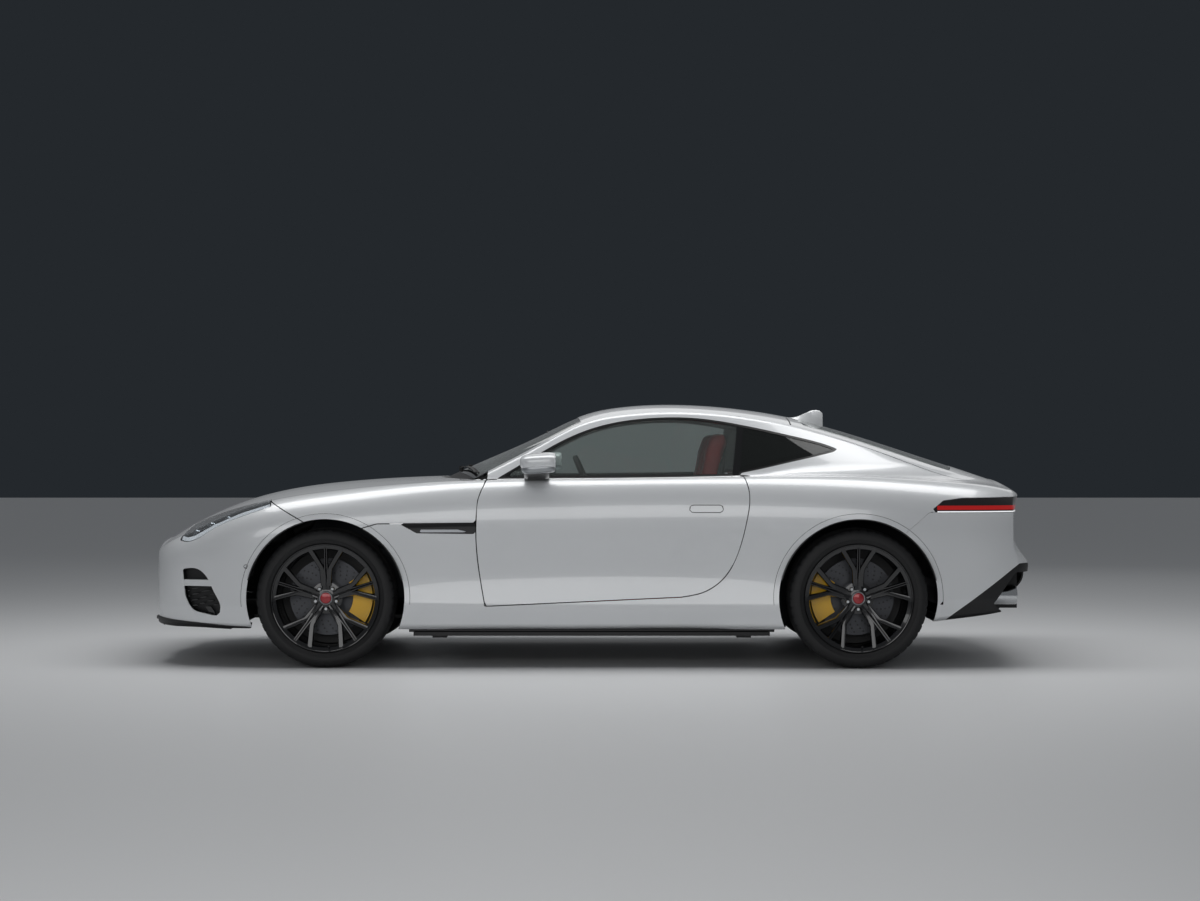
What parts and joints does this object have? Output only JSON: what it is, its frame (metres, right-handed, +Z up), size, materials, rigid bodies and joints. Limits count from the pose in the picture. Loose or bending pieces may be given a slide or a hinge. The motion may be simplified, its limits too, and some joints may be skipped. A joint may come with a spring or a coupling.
{
  "type": "sports coupe",
  "caption": "Low two-seat fastback sports coupe with clamshell hood, tailgate, hinged doors, steered front wheels and a furnished cabin.",
  "frame": {"origin": "on the ground under the middle of the car's bounding box", "axes": "+X forward along the car, +Y to its left, +Z up"},
  "size_m": [4.4818, 2.034, 1.3114],
  "materials": {
    "paint": "gloss white clear-coated paint",
    "glass": "tinted safety glass",
    "lamp": "smoked clear lens",
    "black_plastic": "black trim",
    "tub": "bare structure",
    "engine": "cast",
    "exhaust": "polished",
    "dash": "black grained leather",
    "leather": "red leather",
    "caliper": "gloss yellow",
    "tyre": "black rubber",
    "rim": "gloss black",
    "disc": "machined"
  },
  "bodies": {
    "body": {"front_bumper": "paint", "grille": "black_plastic", "intake_vanes": "black_plastic", "headlamps": "lamp", "undertray": "black_plastic", "front_splitter": "black_plastic", "cowl": "black_plastic", "front_fenders": "paint", "body_sides": "paint", "roof": "paint", "windscreen": "glass", "quarter_glass": "glass", "door_hinges": "tub", "tail_lamps": "lamp", "rear_bumper": "paint", "diffuser": "black_plastic", "exhaust": "exhaust", "side_skirts": "black_plastic", "jack_pads": "tub", "wheel_liners": "black_plastic", "tub": "tub", "dashboard": "dash", "console": "dash", "seats": "leather", "rear_uprights": "tub", "rear_calipers": "caliper", "front_subframe": "tub", "rear_subframe": "tub", "engine": "engine", "nose_frame": "tub", "roof_header": "tub"},
    "hood": {"hood": "paint"},
    "hatch": {"hatch": "paint", "hatch_glass": "glass", "roof_fin": "black_plastic"},
    "door_left": {"door_left": "paint", "door_glass_left": "glass", "mirror_left": "paint"},
    "door_right": {"door_right": "paint", "door_glass_right": "glass", "mirror_right": "paint"},
    "steering_wheel": {"steering_wheel": "dash"},
    "knuckle_left": {"knuckle_left": "tub", "caliper_front_left": "caliper"},
    "knuckle_right": {"knuckle_right": "tub", "caliper_front_right": "caliper"},
    "wheel_front_left": {"tyre_front_left": "tyre", "rim_front_left": "rim", "disc_front_left": "disc"},
    "wheel_front_right": {"tyre_front_right": "tyre", "rim_front_right": "rim", "disc_front_right": "disc"},
    "wheel_rear_left": {"tyre_rear_left": "tyre", "rim_rear_left": "rim", "disc_rear_left": "disc"},
    "wheel_rear_right": {"tyre_rear_right": "tyre", "rim_rear_right": "rim", "disc_rear_right": "disc"}
  },
  "joints": [
    {"name": "hood_hinge", "type": "hinge", "parent": "body", "child": "hood", "pos_m": [2.035, 0, 0.652], "axis": [0, 1, 0], "range_deg": [0, 55]},
    {"name": "hatch_hinge", "type": "hinge", "parent": "body", "child": "hatch", "pos_m": [-1.067, 0, 1.205], "axis": [0, 1, 0], "range_deg": [0, 62]},
    {"name": "door_left_hinge", "type": "hinge", "parent": "body", "child": "door_left", "pos_m": [0.505, 0.872, 0.5], "axis": [0, 0, -1], "range_deg": [0, 64]},
    {"name": "door_right_hinge", "type": "hinge", "parent": "body", "child": "door_right", "pos_m": [0.505, -0.872, 0.5], "axis": [0, 0, 1], "range_deg": [0, 64]},
    {"name": "steer_left", "type": "hinge", "parent": "body", "child": "knuckle_left", "pos_m": [1.309, 0.704, 0.343], "axis": [0, 0, 1], "range_deg": [-31, 31]},
    {"name": "steer_right", "type": "hinge", "parent": "body", "child": "knuckle_right", "pos_m": [1.309, -0.704, 0.343], "axis": [0, 0, 1], "range_deg": [-32, 32]},
    {"name": "steering_column", "type": "hinge", "parent": "body", "child": "steering_wheel", "pos_m": [0.01, 0.372, 0.868], "axis": [-0.9135, 0, 0.4067], "range_deg": [-413, 413]},
    {"name": "wheel_front_left_spin", "type": "hinge", "parent": "knuckle_left", "child": "wheel_front_left", "pos_m": [1.309, 0.792, 0.343], "axis": [0, 1, 0], "continuous": true},
    {"name": "wheel_front_right_spin", "type": "hinge", "parent": "knuckle_right", "child": "wheel_front_right", "pos_m": [1.309, -0.792, 0.343], "axis": [0, 1, 0], "continuous": true},
    {"name": "wheel_rear_left_spin", "type": "hinge", "parent": "body", "child": "wheel_rear_left", "pos_m": [-1.313, 0.808, 0.343], "axis": [0, 1, 0], "continuous": true},
    {"name": "wheel_rear_right_spin", "type": "hinge", "parent": "body", "child": "wheel_rear_right", "pos_m": [-1.313, -0.808, 0.343], "axis": [0, 1, 0], "continuous": true}
  ],
  "couplings": [
    {"joint": "steer_right", "follows": "steer_left", "ratio": 1},
    {"joint": "steering_column", "follows": "steer_left", "ratio": 13}
  ]
}
